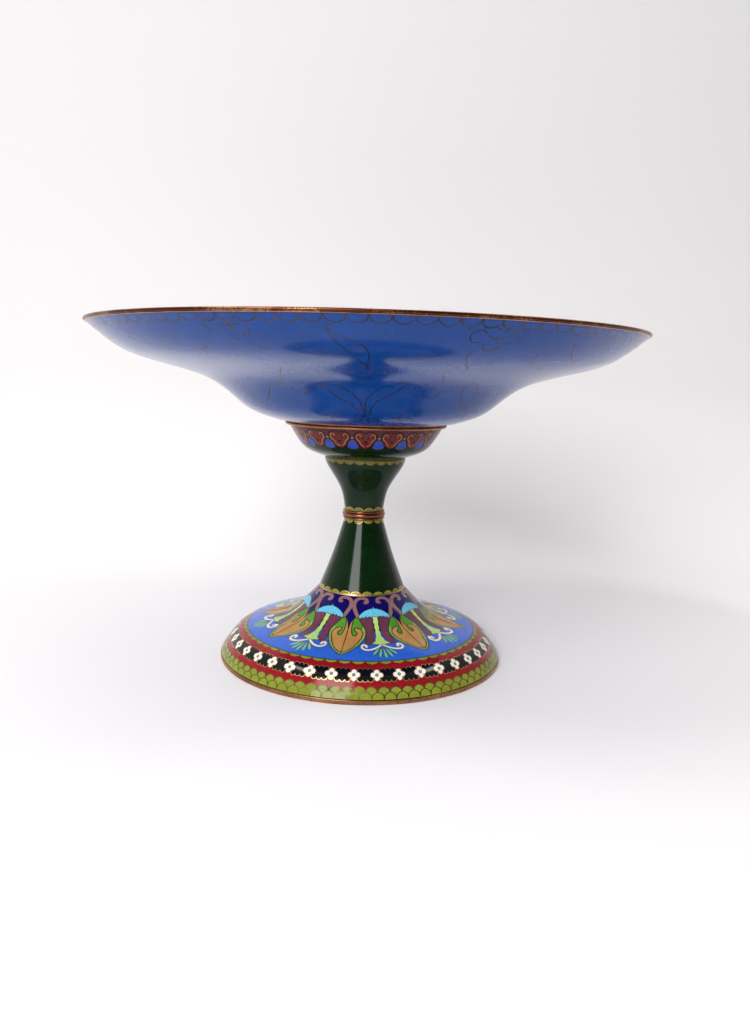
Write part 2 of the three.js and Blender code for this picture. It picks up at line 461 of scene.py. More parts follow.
class Drawing:
    """One repeat of an enamel pattern, drawn flat. Shapes are given in degrees round from the
    repeat's middle and millimetres back from the end of its stretch of outline, which is its top on
    an outer face. A later shape covers an earlier one."""

    def __init__(self, outline, top, bottom, copies, ground, drawn=None, turn=0.0, rise=0.0, head=0.0):
        self.outline = outline
        self.copies = copies
        self.turn = radians(turn)
        self.lengths = [0.0]
        for before, after in zip(outline, outline[1:]):
            self.lengths.append(self.lengths[-1] + hypot(after[0] - before[0], after[1] - before[1]))
        heights = [spot[1] for spot in outline]
        self.low, self.high = 0.0, self.lengths[-1]
        if bottom is not None:
            self.low, self.high = (float(np.interp(z, heights, self.lengths)) for z in (bottom, top))
        self.length = (self.high - self.low) / MM
        self.drawn = drawn or self.length
        self.rise = rise
        self.head = head
        self.half = pi / copies
        self.colours = []
        self.shapes = []
        side = degrees(self.half)
        end = head + self.drawn
        self.fill(ground, [(-side, head), (side, head), (side, end), (-side, end)])

    def along(self, down):
        """The length along the outline at a drawn depth. A drawing can be pulled up in its middle."""
        down = down - self.head
        pulled = down - self.rise * sin(pi * min(max(down / self.drawn, 0.0), 1.0))
        return self.high - pulled * self.length / self.drawn * MM

    def per_degree(self, down):
        """How many millimetres one degree round is, at a drawn depth."""
        radius = float(np.interp(self.along(down), self.lengths, [spot[0] for spot in self.outline]))
        return radians(1) * (radius / MM)

    def fill(self, colour, points):
        """A cell of one colour."""
        if colour not in self.colours:
            self.colours.append(colour)
        flat = [(radians(turn), self.along(down)) for turn, down in points]
        self.shapes.append((self.colours.index(colour), flat))

    def circle(self, colour, centre, radius, sides=10):
        """A round cell of that radius in millimetres, or a round end to a strip."""
        per_degree = self.per_degree(centre[1])
        turns = [2 * pi * i / sides for i in range(sides)]
        ring = [(centre[0] + radius * cos(t) / per_degree, centre[1] + radius * sin(t)) for t in turns]
        self.fill(colour, ring)

    def strip(self, colour, line, width, closed=False, ends=False):
        """A strip along a line, such as a wire. The width is one value or a start and an end."""
        widths = width if isinstance(width, tuple) else (width, width)
        count = len(line)
        sides = []
        for i, (turn, down) in enumerate(line):
            before = line[i - 1] if closed or i else line[0]
            after = line[(i + 1) % count] if closed or i < count - 1 else line[i]
            per_degree = self.per_degree(down)
            across, fall = (after[0] - before[0]) * per_degree, after[1] - before[1]
            long = hypot(across, fall) or 1.0
            half = (widths[0] + (widths[1] - widths[0]) * i / max(count - 1, 1)) / 2
            shift = (fall / long * half / per_degree, -across / long * half)
            sides.append(((turn - shift[0], down - shift[1]), (turn + shift[0], down + shift[1])))
        for i in range(count if closed else count - 1):
            first, second = sides[i], sides[(i + 1) % count]
            self.fill(colour, [first[0], first[1], second[1], second[0]])
        if ends:
            self.circle(colour, line[0], widths[0] / 2)
            self.circle(colour, line[-1], widths[1] / 2)

    def hoop(self, colour, down, width, reach, step=1):
        """A level strip right across the repeat. It reaches that many degrees to each side."""
        self.strip(colour, [(turn, down) for turn in range(-reach, reach + 1, step)], width)

    def scallops(self, count, shares, depths, steps=LINE_STEPS, ends=False):
        """A row of scallops across the repeat, each through its ends, shoulders and crown. The shares
        of the pitch say how far from its middle the ends and shoulders lie, and the depths go from
        the ends to the crown. A row can have its first and last one on the repeat's edges."""
        (end, shoulder), (root, swell, crown) = shares, depths
        pitch = 360 / self.copies / count
        row = []
        for i in range(count + ends):
            middle = -180 / self.copies + pitch * (i if ends else i + 0.5)
            row.append(smooth_line(
                [(middle - pitch * end, root), (middle - pitch * shoulder, swell), (middle, crown),
                 (middle + pitch * shoulder, swell), (middle + pitch * end, root)], steps))
        return row

    def level(self, height):
        """How far down the drawing a height on the form lies, in drawn millimetres."""
        along = np.interp(height, [spot[1] for spot in self.outline], self.lengths)
        return float(self.high - along) / MM * self.drawn / self.length + self.head

    def around(self, centre, radius, start, end, steps=10):
        """Points on a round stretch about a spot: the radius in millimetres, the angles in degrees."""
        per_degree = self.per_degree(centre[1])
        turns = [radians(start + (end - start) * i / steps) for i in range(steps + 1)]
        return [(centre[0] + radius * cos(t) / per_degree, centre[1] - radius * sin(t)) for t in turns]

    def leaf(self, base, tip, width, bend=0.0, blunt=0.6):
        """The outline of a leaf from its base to its tip, widest at the blunt share of its length.
        The width and the sideways bend are in millimetres."""
        per_degree = self.per_degree((base[1] + tip[1]) / 2)
        across, fall = (tip[0] - base[0]) * per_degree, tip[1] - base[1]
        long = hypot(across, fall)
        side = (fall / long, -across / long)
        ring = []
        for way in (1, -1):
            half = []
            for k in range(1, 8):
                t = k / 8
                rise = t / blunt if t < blunt else (1 - t) / (1 - blunt)
                swell = width / 2 * sin(pi / 2 * rise) ** 0.8 * way + bend * sin(pi * t)
                half.append((base[0] + (across * t + side[0] * swell) / per_degree,
                             base[1] + fall * t + side[1] * swell))
            ring += [base, *half] if way == 1 else [tip, *half[::-1]]
        return ring

    def cell(self, colour, points, wire="wire", width=None):
        """A cell with its wire all round."""
        self.fill(colour, points)
        self.strip(wire, points, width or WIRE / MM, closed=True)

    def vein(self, colour, line, start, end):
        """A coloured strip, as wide as given at its two ends, with a wire all round."""
        wires = 2 * (WIRE / MM)
        self.strip("wire", line, (start + wires, end + wires), ends=True)
        self.strip(colour, line, (start, end), ends=True)

    def mesh(self, name, across, along):
        """The flat drawing as one mesh: every line is cut into it, and each face knows its colour."""
        scale = float(np.mean([spot[0] for spot in self.outline]))
        points, edges, rings = [], [], []
        for number, (colour, flat) in enumerate(self.shapes):
            for shift in (0, -2 * self.half, 2 * self.half) if number else (0,):
                ring = np.array(flat) + (shift, 0)
                if ring[:, 0].max() <= -self.half or ring[:, 0].min() >= self.half:
                    continue
                first, count = len(points), len(ring)
                edges += [(first + k, first + (k + 1) % count) for k in range(count)]
                points += [Vector((turn * scale, along)) for turn, along in ring]
                rings.append((colour, ring))
        for column in range(across + 1):
            turn = -self.half + 2 * self.half * column / across
            for row in range(along + 1):
                points.append(Vector((turn * scale, self.low + (self.high - self.low) * row / along)))
        spots, _, triangles, _, _, _ = delaunay_2d_cdt(points, edges, [], 0, 1e-7, False)
        flat = np.array([(spot.x / scale, spot.y) for spot in spots])
        middles = flat[np.array(triangles)].mean(axis=1)
        top = np.full(len(triangles), -1)
        for colour, ring in rings:
            near = ((middles > ring.min(axis=0)) & (middles < ring.max(axis=0))).all(axis=1)
            near = np.flatnonzero(near)
            x, y = middles[near].T
            inside = np.zeros(len(near), dtype=bool)
            for a, b in zip(ring, np.roll(ring, -1, axis=0)):
                if a[1] != b[1]:
                    crossed = (a[1] > y) != (b[1] > y)
                    inside ^= crossed & (x < (b[0] - a[0]) * (y - a[1]) / (b[1] - a[1]) + a[0])
            top[near[inside]] = colour
        # What reaches past this repeat is drawn by the next one.
        top[np.abs(middles[:, 0]) > self.half] = -1
        kept = [(face, colour) for face, colour in zip(triangles, top) if colour >= 0]
        mesh = bpy.data.meshes.new(name)
        mesh.from_pydata([(spot.x / scale, spot.y, 0) for spot in spots], [], [face for face, _ in kept])
        colour = mesh.attributes.new("colour", "INT", "FACE")
        colour.data.foreach_set("value", [int(number) for _, number in kept])
        give = mesh.attributes.new("give", "FLOAT", "POINT")
        clear = [min(spot.y - self.low, self.high - spot.y) / (2 * MM) for spot in spots]
        give.data.foreach_set("value", [max(0.0, min(1.0, c)) for c in clear])
        return mesh

    def pieces(self, prefix, finishes, slot, across, along):
        """One piece for each colour of the drawing, set on the form. The grid is across by along."""
        flat = self.mesh(prefix + "_drawing", across, along)
        guide = outline_curve(prefix + "_guide", self.outline)
        for number, colour in enumerate(self.colours):
            place = (number, ENAMEL, HAND_WANDER, self.turn)
            finished(set_on(f"{prefix}_{colour}", flat, guide, self.copies, finishes[colour], *place), slot)
        bpy.data.objects.remove(guide)


def enamel_finish(name, screen, seed, cloud=0.12, grain=0.22, gloss=0.09, shine=0.3):
    """Ground and polished glass enamel: a little cloudy, finely granular, with a few pits where
    bubbles were cut open, under a hard gloss. Its colour is given in screen values of 0 to 255."""
    material, tree, shader = new_material(name + "_enamel", ior=1.42, specular_ior_level=shine)
    colour = tuple(((c / 255 + 0.055) / 1.055) ** 2.4 if c > 10 else c / 255 / 12.92 for c in screen)
    spot = node(tree, "ShaderNodeTexCoord").outputs["Object"]
    clouds = noise(tree, spot, seed, 70.0, 4.0, 0.6)
    grains = noise(tree, spot, seed + 3.0, 1300.0, 2.0, 0.7)
    given = {"Vector": spot, "W": seed, "Scale": 260.0}
    pits = node(tree, "ShaderNodeTexVoronoi", given, voronoi_dimensions="4D").outputs["Distance"]

    def ramp(value, low, high, start, end):
        given = {"Value": value, "From Min": low, "From Max": high, "To Min": start, "To Max": end}
        return node(tree, "ShaderNodeMapRange", given).outputs[0]

    def times(base, factor):
        return node(tree, "ShaderNodeVectorMath", {0: base, "Scale": factor}, operation="SCALE").outputs[0]

    tint = times(colour, ramp(clouds, 0.3, 0.7, 1 - cloud, 1 + cloud))
    tint = times(tint, ramp(grains, 0.3, 0.7, 1 - grain, 1 + grain))
    pitted = ramp(pits, 0.07, 0.12, 0.5, 1.0)
    tint = times(tint, pitted)
    tree.links.new(tint, shader.inputs["Base Color"])
    tree.links.new(ramp(clouds, 0.3, 0.7, gloss, gloss + 0.06), shader.inputs["Roughness"])
    surface = node(tree, "ShaderNodeMath", {0: pitted, 1: times(grains, 0.12)}, operation="ADD").outputs[0]
    bump = node(tree, "ShaderNodeBump", {"Height": surface, "Strength": 0.25, "Distance": 0.00004})
    tree.links.new(bump.outputs[0], shader.inputs["Normal"])
    return material


def mirrored(points):
    """The same points on the other side of the repeat's middle."""
    return [(-turn, down) for turn, down in points]


# The foot's outline, from its edge up to the waist. It turns sharply where skirt and cone meet.
low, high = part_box("foot")
edge = (high.x, low.z)
shoulder = (edge[0] - FOOT_EDGE_RUN, edge[1] + FOOT_EDGE_RISE)
slope = (shoulder[0] - FOOT_SHOULDER_RUN, shoulder[1] + FOOT_SHOULDER_RISE)
flare = (slope[0] - FOOT_SLOPE_RUN, slope[1] + FOOT_SLOPE_RISE)
neck = (flare[0] - FOOT_FLARE_RUN, flare[1] + FOOT_FLARE_RISE)
waist = (WAIST_RADIUS, high.z)
hollow = ((neck[0] + waist[0]) / 2 - CONE_HOLLOW, (neck[1] + waist[1]) / 2)
skirt = smooth_line([edge, shoulder, slope, flare, neck], STATION_STEPS)
cone = smooth_line([neck, hollow, waist], STATION_STEPS)

# Copper shell and the enamel inside it.
foot_outer = skirt[::CORE_EVERY] + cone[::CORE_EVERY][1:]


def shell(name, outline, outer, inner, finish, bottom, top):
    """A turned layer between two depths below an outline, cut level at its bottom and top."""
    faces = []
    for depth in (outer, inner):
        moved = [spot for spot in inset(outline, depth) if bottom + CUT_MARGIN < spot[1] < top - CUT_MARGIN]
        ends = (outline[0][0] - depth, bottom), (outline[-1][0] - depth, top)
        faces.append([ends[0], *moved, ends[1]])
    return turned(name, faces[0] + faces[1][::-1], finish)


COPPER_INNER = 1.7 * MM
core_copper = copper_finish("core_copper", (0.42, 0.2, 0.1), (0.2, 0.08, 0.04), 0.4, 5.0)
inner_blue = enamel_finish("inner_blue", (52, 92, 150), 21.0, cloud=0.2, grain=0.3, gloss=0.14)
core = shell("foot_copper", foot_outer, ENAMEL, COPPER_INNER, core_copper, low.z, high.z)
finished(core, "copper", "foot")
inside = shell("foot_inner_enamel", foot_outer, COPPER_INNER, WALL, inner_blue, low.z, high.z)
finished(inside, "foot_enamel")

# Wires and enamels of the foot.
foot_finishes = {
    "wire": copper_finish("gilt_wire", (0.60, 0.40, 0.17), (0.30, 0.17, 0.06), 0.3, 2.0),
    "dark_wire": copper_finish("browned_wire", (0.16, 0.13, 0.05), (0.05, 0.06, 0.02), 0.34, 3.0),
    "green": enamel_finish("deep_green", (8, 35, 11), 1.0, cloud=0.25, grain=0.35),
    "moss": enamel_finish("moss_green", (132, 140, 44), 2.0, cloud=0.2),
    "navy": enamel_finish("navy", (20, 12, 92), 3.0),
    "blue": enamel_finish("bright_blue", (44, 98, 204), 4.0, cloud=0.08),
    "mauve": enamel_finish("mauve", (150, 102, 108), 5.0),
    "maroon": enamel_finish("maroon", (112, 60, 80), 6.0, cloud=0.2),
    "sky": enamel_finish("sky_blue", (105, 198, 228), 7.0, cloud=0.08),
    "pale_green": enamel_finish("pale_green", (186, 220, 122), 8.0),
    "white": enamel_finish("white", (240, 236, 222), 9.0, cloud=0.05, grain=0.08),
    "jade": enamel_finish("jade", (112, 190, 150), 10.0, cloud=0.2),
    "tan": enamel_finish("tan", (192, 140, 80), 11.0, cloud=0.16),
    "leaf": enamel_finish("leaf_green", (86, 146, 44), 12.0, cloud=0.2),
    "lime": enamel_finish("lime", (142, 172, 84), 22.0, cloud=0.15),
    "red": enamel_finish("red", (142, 16, 24), 13.0, cloud=0.12),
    "black": enamel_finish("black", (12, 12, 14), 14.0),
    "grey": enamel_finish("grey_green", (120, 140, 120), 15.0),
}

# Cone: deep green, with a few scallops under the waist ring and a ring of them at its foot.
GILT_BAND = 0.9
FOOT_SCALLOPS = 24
WAIST_SCALLOPS = 12
drawing = Drawing(cone, waist[1], neck[1], 2, "green")
end = drawing.length
for dome in drawing.scallops(FOOT_SCALLOPS // 2, (0.49, 0.36), (end, end - 1.7, end - 2.5)):
    drawing.cell("moss", dome)
for dome in drawing.scallops(WAIST_SCALLOPS // 2, (0.44, 0.34), (-0.2, 1.2, 2.0)):
    drawing.cell("moss", dome)
drawing.hoop("wire", end - GILT_BAND / 2, GILT_BAND, 92, 2)
drawing.pieces("cone", foot_finishes, "foot_enamel", 90, 18)

# Skirt of the foot. Eight hearts hang between eight blossoms, joined by scrolling stems on a navy
# ground that turns to a bright blue one below.
SKIRT_TURN = -9.6
SKIRT_DRAWN = 44.6
SKIRT_RISE = 3.2
BLOSSOM = 22.5
BLUE_FROM = 23.9
BAND_HEIGHT = 17.6 * MM
drawing = Drawing(skirt, neck[1], BAND_HEIGHT, 8, "navy", SKIRT_DRAWN, SKIRT_TURN, SKIRT_RISE)
drawing.fill("blue", [(-23, BLUE_FROM), (23, BLUE_FROM), (23, 45), (-23, 45)])
drawing.hoop("wire", BLUE_FROM, WIRE / MM, 23)

# Scrolls.
scroll = smooth_line([(8.75, 17), (4.75, 12), (2.25, 8.4), (1.5, 6.1), (3, 3.4), (6.5, 1.9), (11, 1.5),
                      (15, 2.0), (16.4, 3.2), (15.9, 4.4), (14.2, 4.7)])
for line in (scroll, mirrored(scroll)):
    drawing.vein("mauve", line, 1.55, 1.55)

# Blossom, half to each side of the repeat, drawn from its own middle: two dark petals, a fan of five
# leaflets, a frilled stem, a blue cap and two white curls.
petal = smooth_line([(14.2, 15.0), (12.4, 18.4), (10.6, 21.2), (9.3, 24.6), (9.0, 27.6), (9.7, 30.6),
                     (9.3, 32.4), (7.2, 32.9), (5.0, 32.0), (4.2, 29), (3.0, 25), (2.4, 20), (1.6, 15.0)])
petal += [(1.6, 12.5), (9, 12.5), (13.8, 14.0)]
half_widths = ((13, 3.4), (14.5, 2.9), (16.2, 2.1), (18, 2.5), (19.6, 1.7), (21.2, 2.2), (23, 1.6), (25, 2.2),
               (27, 1.9), (28.6, 3.0), (30.2, 3.3), (31.6, 5.2), (32.3, 5.4), (32.8, 2.6))
side = smooth_line([(wide, down) for down, wide in half_widths], 3)
stem = side + [(0, 34.2)] + mirrored(side)[::-1]
cap_side = [(0, 7.3), (0.8, 8.9)] + smooth_line(
    [(0.8, 8.9), (4.2, 9.2), (8.4, 10.2), (12.2, 11.9), (14.8, 13.8), (15.0, 15.0)])
hem = smooth_line([(15.0, 15.0), (13.8, 15.8), (12.1, 15.0), (10.4, 15.4), (8.6, 14.4), (6.8, 15.0),
                   (5.2, 14.2), (3.6, 14.9), (2.0, 14.2), (0, 14.8)])
cap = cap_side + hem + mirrored(hem)[::-1][1:] + mirrored(cap_side)[::-1][:-1]
curl = smooth_line([(0.8, 33.6), (3.2, 35.1), (6.2, 36.5), (9.4, 36.9), (11.4, 36.0), (12.0, 34.5),
                    (11.0, 33.3), (9.5, 33.7), (9.3, 34.7)])


def on_blossom(points):
    """Points drawn from the blossom's own middle, set at the side of the repeat."""
    return [(BLOSSOM + turn, down) for turn, down in points]


for ring in (petal, mirrored(petal)):
    drawing.cell("maroon", on_blossom(ring), "dark_wire")
for turn, down in ((6.4, 40.8), (-6.4, 40.8), (3.3, 42.6), (-3.3, 42.6), (0, 43.3)):
    drawing.cell("jade", on_blossom(drawing.leaf((turn * 0.3, 35.2), (turn, down), 1.7, 0, 0.7)), "dark_wire")
drawing.cell("pale_green", on_blossom(stem), "dark_wire")
drawing.cell("sky", on_blossom(cap), "dark_wire")
for line in (curl, mirrored(curl)):
    drawing.vein("white", on_blossom(line), 0.9, 1.25)

# Heart: tan, with a dark rib and a lime edge that curls in at the top as a green volute.
RIB_LINE = (0.6, 0.35)
shoulders = [(3.3, 16.2), (4.4, 15.5), (6.4, 15.5), (8.6, 16.9), (11.2, 19.6), (13.2, 22.4), (13.7, 24.6)]
sides = [(13.1, 27.2), (11.4, 30.2), (8.9, 33.4), (6.0, 36.5), (3.0, 39.1), (0, 41.2)]
hook = smooth_line([(7.2, 21.9), (5.3, 21.9), (5.0, 22.9), (6.2, 24.0), (7.3, 24.9), (6.9, 26.2), (5.6, 27.0),
                    (4.1, 26.3), (3.0, 23.5), (2.7, 20.2), (2.9, 17.6), (3.3, 16.2)])
edging = smooth_line([(0, 39.6), (1.8, 38.5), (3.9, 36.9), (6.3, 34.3), (6.6, 33.4), (8.5, 31.3), (8.8, 30.4),
                      (10.3, 28.6), (10.5, 27.6), (11.4, 26.2), (11.2, 24.3), (9.6, 22.6), (7.2, 21.9)])
heart = smooth_line([(0.2, 22.2), (0.9, 19.4), (2.0, 17.4), *shoulders, *sides])
drawing.cell("tan", heart + mirrored(heart)[::-1], "dark_wire", 0.4)
green = smooth_line(shoulders + sides) + edging + hook[1:-1]
volute = smooth_line(shoulders[:5]) + [(11.6, 21.2), (10.4, 23.4), (9.6, 22.6)] + hook[:-1]
for ring, curled in ((green, volute), (mirrored(green), mirrored(volute))):
    drawing.fill("lime", ring)
    drawing.fill("leaf", curled)
    drawing.strip("dark_wire", ring, 0.55, closed=True)
drawing.strip("dark_wire", [(0, 22.2), (0, 39.8)], RIB_LINE)
drawing.pieces("skirt", foot_finishes, "foot_enamel", 30, 22)

# Border of the foot. Black cartouches and white blossoms on red, scallops above and scales below.
BAND_TURN = 2.4
FLOWERS = 8
UPPER_SCALLOPS = 12
SCALES = 16
CARTOUCHE_TOP = 15.2 * MM
CARTOUCHE_BOTTOM = 10.6 * MM
SCALE_CROWN = 8.2 * MM
SCALE_LOWER_CROWN = 5.9 * MM
SCALE_ROOT = 4.7 * MM
drawing = Drawing(skirt, BAND_HEIGHT, edge[1], 5, "red", None, BAND_TURN)
for dome in drawing.scallops(UPPER_SCALLOPS, (0.48, 0.40), (0.1, 1.6, 2.7)):
    drawing.cell("moss", dome, "dark_wire")
drawing.hoop("dark_wire", 0.3, 0.6, 37)
pitch = 72 / FLOWERS
top, bottom = drawing.level(CARTOUCHE_TOP), drawing.level(CARTOUCHE_BOTTOM)
for grow, colour in ((WIRE / MM, "wire"), (0, "black")):
    for i in range(FLOWERS + 1):
        middle = -36 + pitch * i
        wide = pitch * 0.34 + grow * 0.7
        drawing.fill(colour, [(middle - wide, top + 0.7), (middle + wide, top + 0.7),
                              (middle + wide, bottom - 0.7), (middle - wide, bottom - 0.7)])
        for lobe in (-1, 0, 1):
            for down in (top + 0.9, bottom - 0.9):
                drawing.circle(colour, (middle + lobe * pitch * 0.225, down), 1.25 + grow)
middle_down = (top + bottom) / 2
for i in range(FLOWERS):
    middle = -36 + pitch * (i + 0.5)
    for grow, colour in ((WIRE / MM, "wire"), (0, "white")):
        for x, y in ((1.4, 0), (-1.4, 0), (0, 1.75), (0, -1.75)):
            drawing.circle(colour, (middle + x, middle_down + y), 1.3 + grow)
        drawing.circle(colour, (middle, middle_down), 1.7 + grow)
    drawing.circle("dark_wire", (middle, middle_down), 0.95)
    drawing.circle("grey", (middle, middle_down), 0.65)
head, lower = drawing.level(SCALE_CROWN), drawing.level(SCALE_LOWER_CROWN)
root, end = drawing.level(SCALE_ROOT), drawing.length
upper_row = drawing.scallops(SCALES, (0.5, 0.37), (lower, head + 1.0, head), 3)
lower_row = drawing.scallops(SCALES, (0.5, 0.40), (end - 0.4, lower + 1.0, lower - 0.3), 3, ends=True)
for row, down in ((upper_row, root), (lower_row, end + 0.3)):
    for dome in row:
        drawing.cell("moss", [(dome[0][0], down), *dome, (dome[-1][0], down)], "dark_wire", 0.5)
drawing.pieces("border", foot_finishes, "foot_enamel", 60, 8)

# Waist ring. A turned copper ring that covers the joint of foot and stem: a round between two fine
# beads, in browned copper.
WAIST_BEAD = 0.55 * MM
WAIST_ROUND = 1.45 * MM
WAIST_BEAD_BACK = 0.35 * MM
low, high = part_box("waist_ring")
middle = (low.z + high.z) / 2
inner = WAIST_RADIUS - WALL
section = [(inner, low.z)]
section += arc((high.x - WAIST_BEAD_BACK - WAIST_BEAD, low.z + WAIST_BEAD), WAIST_BEAD, -90, 62)
section += arc((high.x - WAIST_ROUND, middle), WAIST_ROUND, -64, 64)
section += arc((high.x - WAIST_BEAD_BACK - WAIST_BEAD, high.z - WAIST_BEAD), WAIST_BEAD, -62, 90)
section += [(inner, high.z)]
ring_brown = copper_finish("browned_copper", (0.36, 0.15, 0.075), (0.12, 0.04, 0.02), 0.24, 6.0)
finished(turned("waist_ring_copper", section, ring_brown), "copper", "waist_ring")

# Stem. A spun copper neck that opens into a shallow cup, in deep green enamel with scallops at both
# ends of the neck. Eighteen cloud-shaped heads with cobalt cells between them go round the cup.
NECK_LOWER_RISE = 12 * MM
NECK_LOWER_FLARE = 2.6 * MM
NECK_UPPER_RISE = 18.6 * MM
NECK_UPPER_FLARE = 9.5 * MM
NECK_SWELL_DROP = 5 * MM
NECK_SWELL_INSET = 1.4 * MM
CUP_LOWER_RISE = 5.2 * MM
CUP_LOWER_RUN = 11.8 * MM
NECK_SCALLOPS = 24
HEADS = 18
low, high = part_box("stem_cup")
neck_low = (WAIST_RADIUS, low.z)
neck_middle = (neck_low[0] + NECK_LOWER_FLARE, neck_low[1] + NECK_LOWER_RISE)
neck_top = (neck_middle[0] + NECK_UPPER_FLARE, neck_middle[1] + NECK_UPPER_RISE)
neck_swell = (neck_top[0] - NECK_SWELL_INSET, neck_top[1] - NECK_SWELL_DROP)
cup_turn = (neck_top[0] + CUP_LOWER_RUN, neck_top[1] + CUP_LOWER_RISE)
cup_top = (high.x, high.z)
neck_outline = smooth_line([neck_low, neck_middle, neck_swell, neck_top], STATION_STEPS)
cup_outline = smooth_line([neck_top, cup_turn, cup_top], STATION_STEPS)
stem_outer = neck_outline[::CORE_EVERY] + cup_outline[::CORE_EVERY][1:]
core = shell("stem_copper", stem_outer, ENAMEL, COPPER_INNER, core_copper, low.z, high.z)
finished(core, "copper", "stem_cup")
inside = shell("stem_inner_enamel", stem_outer, COPPER_INNER, WALL, inner_blue, low.z, high.z)
finished(inside, "green_enamel")
stem_finishes = foot_finishes | {
    "russet": enamel_finish("russet", (108, 32, 32), 16.0, cloud=0.25),
    "plum": enamel_finish("plum", (84, 38, 48), 17.0, cloud=0.3),
    "olive": enamel_finish("olive", (124, 116, 46), 20.0, cloud=0.3, grain=0.3),
    "cobalt": enamel_finish("cobalt", (54, 76, 180), 18.0, cloud=0.2),
}

# Neck.
drawing = Drawing(neck_outline, neck_top[1], neck_low[1], 2, "green")
for dome in drawing.scallops(NECK_SCALLOPS // 2, (0.48, 0.38), (0.9, 2.2, 3.0)):
    drawing.cell("olive", dome, "dark_wire", 0.45)
drawing.hoop("dark_wire", 0.7, 0.5, 92, 2)
end = drawing.length + 0.2
for dome in drawing.scallops(WAIST_SCALLOPS // 2, (0.46, 0.36), (end, end - 1.6, end - 2.4)):
    drawing.cell("olive", dome)
drawing.pieces("neck", stem_finishes, "green_enamel", 90, 14)

# Cup.
drawing = Drawing(cup_outline, cup_top[1], neck_top[1], HEADS, "green")
drawing.fill("plum", [(-11, 0), (11, 0), (11, 6.2), (-11, 6.2)])
drawing.cell("cobalt", smooth_line(
    [(7.2, 7.8), (9.0, 6.7), (11.0, 6.7), (12.8, 7.8), (14.6, 10.4), (13.6, 11.9), (10, 12.5), (6.4, 11.9),
     (5.4, 10.4)], closed=True), "dark_wire")
end = drawing.length + 0.2
for dome in drawing.scallops(3, (0.48, 0.38), (end, end - 1.2, end - 1.8)):
    drawing.cell("olive", dome, "dark_wire", 0.45)
drawing.strip("tan", smooth_line([(7.0, 6.6), (8.5, 5.5), (10, 5.2), (11.5, 5.5), (13, 6.6)]), 0.5)
half = smooth_line([(0, 2.3), (1.5, 1.6), (3.6, 1.2), (6.0, 1.5), (7.9, 2.9), (8.5, 5.0), (7.8, 6.9),
                    (6.2, 7.9), (5.7, 9.2), (4.7, 10.6), (2.8, 11.6), (1.0, 12.2), (0, 12.8)], 3)
drawing.cell("russet", half + mirrored(half)[::-1][1:-1], "black", 0.75)
edging = smooth_line([(3.4, 4.2), (4.4, 3.0), (6.0, 3.0), (6.9, 4.0), (6.9, 5.3), (6.0, 6.4), (4.6, 7.2),
                      (3.9, 8.6), (2.6, 9.8), (0.9, 10.6)], 2)
curl = smooth_line([(0.9, 3.6), (2.2, 4.2), (2.6, 5.4), (1.8, 6.2), (1.0, 5.6)], 3)
for line in (edging, mirrored(edging)):
    drawing.strip("tan", line, 0.28)
for line in (curl, mirrored(curl)):
    drawing.strip("black", line, 0.42, ends=True)
for spot in ((0.7, 7.3), (-0.7, 7.3), (0, 8.0)):
    drawing.circle("black", spot, 0.62)
drawing.pieces("cup", stem_finishes, "green_enamel", 10, 12)

# Collar ring. A turned copper ring between cup and bowl: a bright bead below, a fine groove and a
# thin flange under the bowl.
COLLAR_BEAD = 0.8 * MM
COLLAR_BEAD_BACK = 0.3 * MM
COLLAR_FLANGE = 0.9 * MM
COLLAR_GROOVE = 1.5 * MM
COLLAR_INSET = 1.4 * MM
low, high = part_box("collar_ring")
inner, groove = cup_top[0] - WALL - COLLAR_INSET, high.x - COLLAR_GROOVE
section = [(inner, low.z)]
section += arc((high.x - COLLAR_BEAD_BACK - COLLAR_BEAD, low.z + COLLAR_BEAD), COLLAR_BEAD, -90, 70)
section += [(groove, low.z + 2 * COLLAR_BEAD), (groove, high.z - COLLAR_FLANGE)]
section += arc((high.x - COLLAR_FLANGE / 2, high.z - COLLAR_FLANGE / 2), COLLAR_FLANGE / 2, -90, 90)
section += [(inner, high.z)]
finished(turned("collar_ring_copper", section, ring_copper), "copper", "collar_ring")

# Bowl. One spun copper shell with a flat base, enamelled deep blue inside and out. The pattern
# outside is drawn in bare wires on the blue: scallops at the rim, and four sprays of leaves and
# blossoms. Inside it is plainer.
WELL_TURN_RUN = 15.4 * MM
WELL_SIDE_RUN = 22.4 * MM
WELL_SIDE_RISE = 16 * MM
SHELF_RUN = 40 * MM
SHELF_RISE = 11.9 * MM
LIP_RUN = 19.9 * MM
LIP_RISE = 13.7 * MM
BASE_MARGIN = 0.3 * MM
BOWL_CORE_EVERY = 4
BOWL_DRAWN = 104.8
RIM_SCALLOPS = 26
UNDER_RIM_RUN = 0.8 * MM
UNDER_RIM_RISE = 0.8 * MM
UNDER_RIM_DRAWN = 1.13
low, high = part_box("bowl")
lip = (high.x, high.z)
shelf = (lip[0] - LIP_RUN, lip[1] - LIP_RISE)
well_top = (shelf[0] - SHELF_RUN, shelf[1] - SHELF_RISE)
well_turn = (well_top[0] - WELL_SIDE_RUN, well_top[1] - WELL_SIDE_RISE)
base = (well_turn[0] - WELL_TURN_RUN, low.z)
under_rim = (lip[0] + UNDER_RIM_RUN, lip[1] + UNDER_RIM_RISE)
bowl_outer = smooth_line([base, well_turn, well_top, shelf, lip], STATION_STEPS)
floor_level = base[1] + WALL
inner_base = (base[0] - WALL / 2, floor_level)


def bowl_face(depth, foot_height):
    """The bowl's outline at a depth below its outer face, from the lip down."""
    lowest, highest = foot_height + BASE_MARGIN, lip[1] - CUT_MARGIN
    moved = [spot for spot in inset(bowl_outer, depth) if lowest < spot[1] < highest]
    return [(lip[0] - depth, lip[1])] + moved[::-1]


